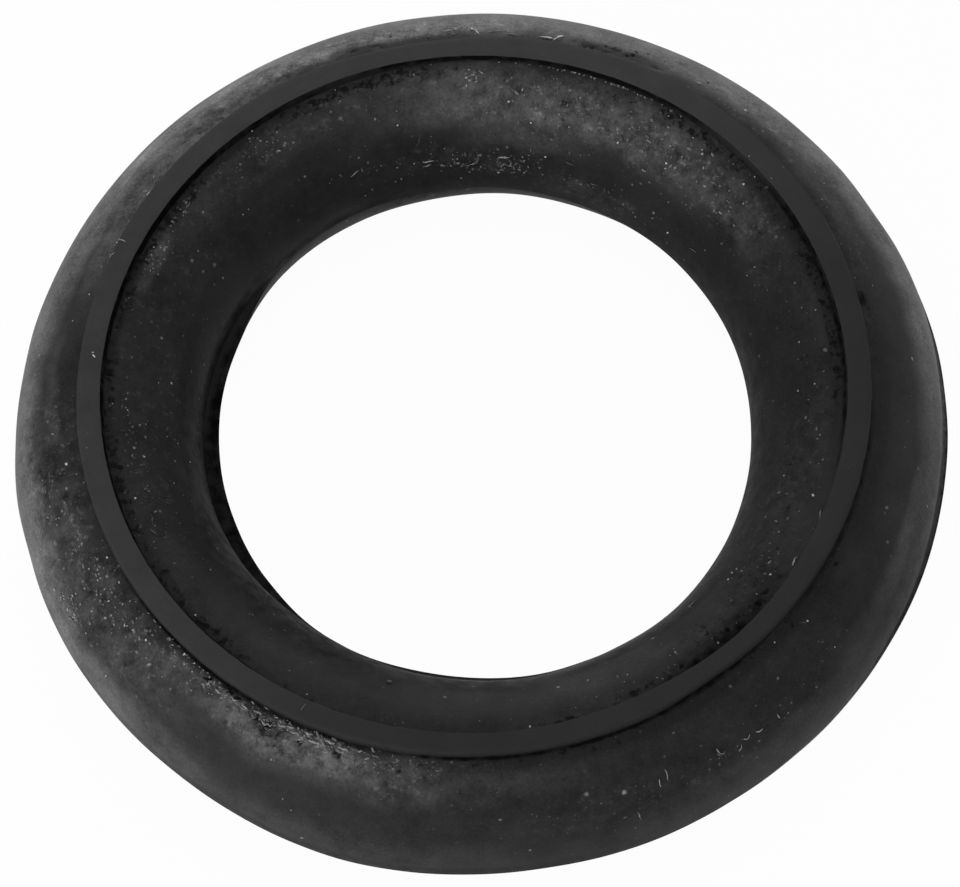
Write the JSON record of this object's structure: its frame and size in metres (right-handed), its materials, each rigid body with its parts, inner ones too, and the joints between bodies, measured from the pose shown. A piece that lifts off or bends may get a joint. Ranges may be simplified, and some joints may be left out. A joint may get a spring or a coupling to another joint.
{
  "type": "exhaust hanger rubber",
  "caption": "Moulded black rubber hanger ring for a car exhaust, with a plump oval section, a narrow raised land around each face and an open centre for the hooks.",
  "frame": {"origin": "middle of the rectangle that the ring covers, on the plane of its lower land", "axes": "+Z along the ring's axis, out of the upper land; +X and +Y across the ring, with the lower mould half moved towards +X and +Y"},
  "size_m": [0.0626, 0.0626, 0.016],
  "materials": {
    "black_rubber": null
  },
  "bodies": {
    "root": {"hanger_ring": "black_rubber"}
  },
  "joints": []
}
